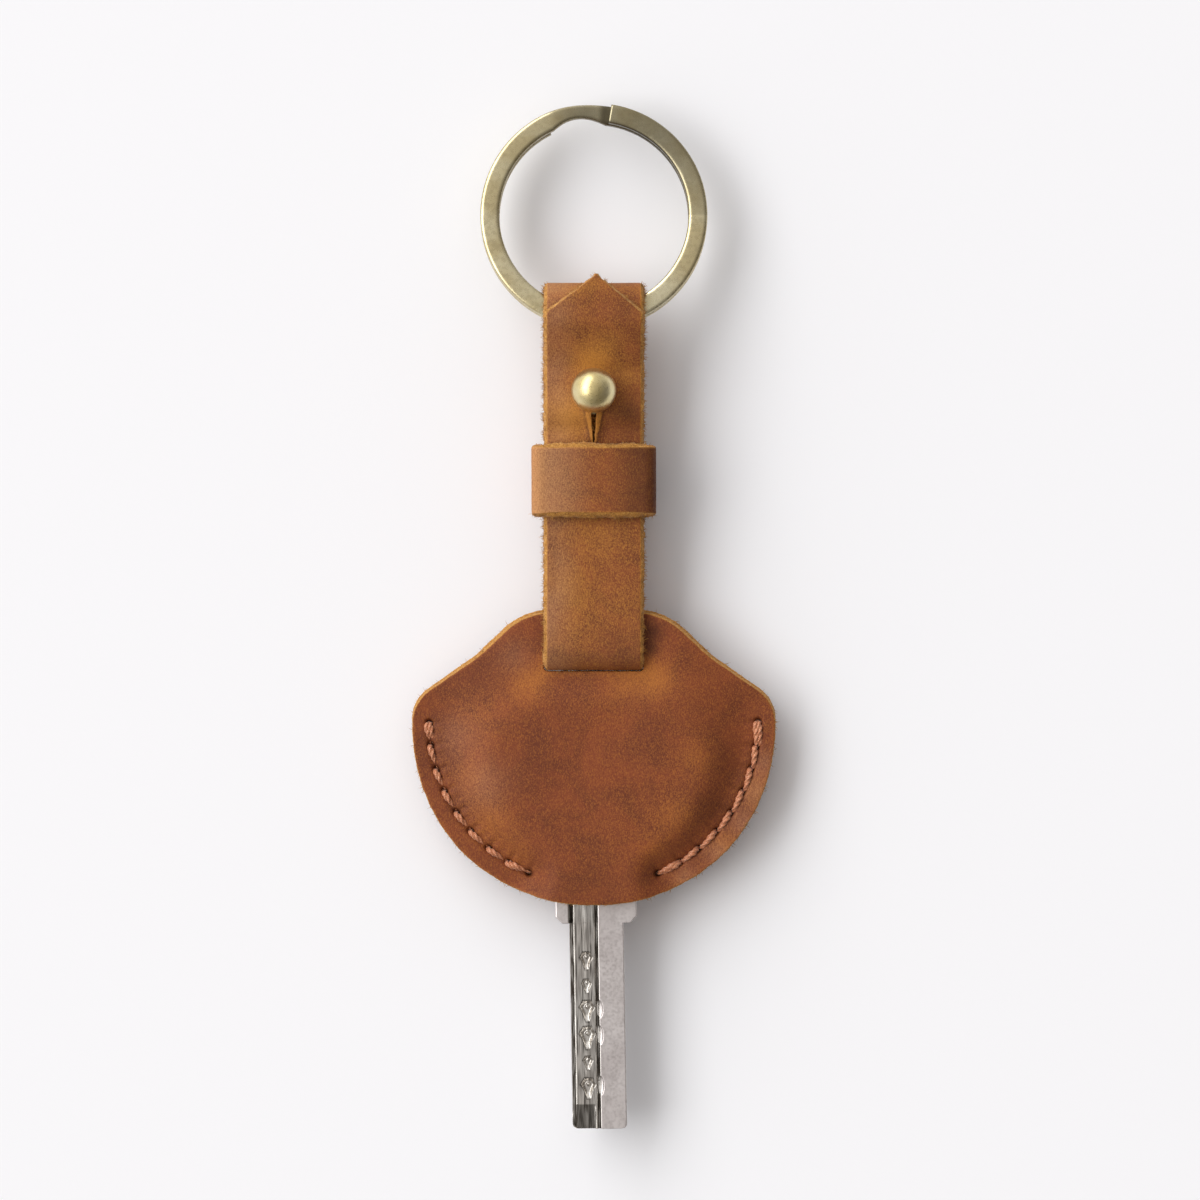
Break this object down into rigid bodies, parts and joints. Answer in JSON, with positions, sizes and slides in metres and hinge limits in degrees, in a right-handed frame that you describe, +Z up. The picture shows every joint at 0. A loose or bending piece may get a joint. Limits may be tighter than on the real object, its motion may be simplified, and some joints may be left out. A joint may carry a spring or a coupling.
{
  "type": "leather key fob cover",
  "caption": "Stitched leather pocket holding a dimple key, hung on a folded strap with keeper, ball stud and split key ring.",
  "frame": {"origin": "middle of the part's bounding box, on the table that it lies on", "axes": "+X to the right across the pocket, +Y along the strap towards the split ring, +Z up from the table, out of the cover's front face"},
  "size_m": [0.0514, 0.1446, 0.0135],
  "materials": {
    "pocket_leather": "waxed pull-up leather, matt with a soft sheen",
    "strap_leather": "waxed pull-up leather, matt with a soft sheen",
    "thread": "waxed thread",
    "ring_brass": "brushed antique brass plate",
    "stud_brass": "satin brass",
    "key_nickel": "satin nickel plate, worn"
  },
  "bodies": {
    "pocket": {"front_panel": "pocket_leather", "back_panel": "pocket_leather", "left_seam_thread": "thread", "right_seam_thread": "thread"},
    "key": {"key": "key_nickel"},
    "strap": {"strap": "strap_leather", "ball_stud": "stud_brass", "stud_screw": "stud_brass"},
    "keeper": {"keeper": "strap_leather", "keeper_thread": "thread"},
    "ring": {"key_ring": "ring_brass"}
  },
  "joints": [
    {"name": "strap_rock", "type": "hinge", "parent": "pocket", "child": "strap", "pos_m": [0, -0.00244, 0.00325], "axis": [1, 0, 0], "range_deg": [-3, 3]},
    {"name": "ring_swing", "type": "hinge", "parent": "strap", "child": "ring", "pos_m": [0, 0.04259, 0.00424], "axis": [1, 0, 0], "range_deg": [-150, 150]},
    {"name": "keeper_slide", "type": "slide", "parent": "strap", "child": "keeper", "axis": [0, 1, 0], "range_m": [-0.0072, 0.0016]},
    {"name": "key_slide", "type": "slide", "parent": "pocket", "child": "key", "axis": [-0.0175, 0.9998, 0], "range_m": [-0.0012, 0.001]}
  ]
}
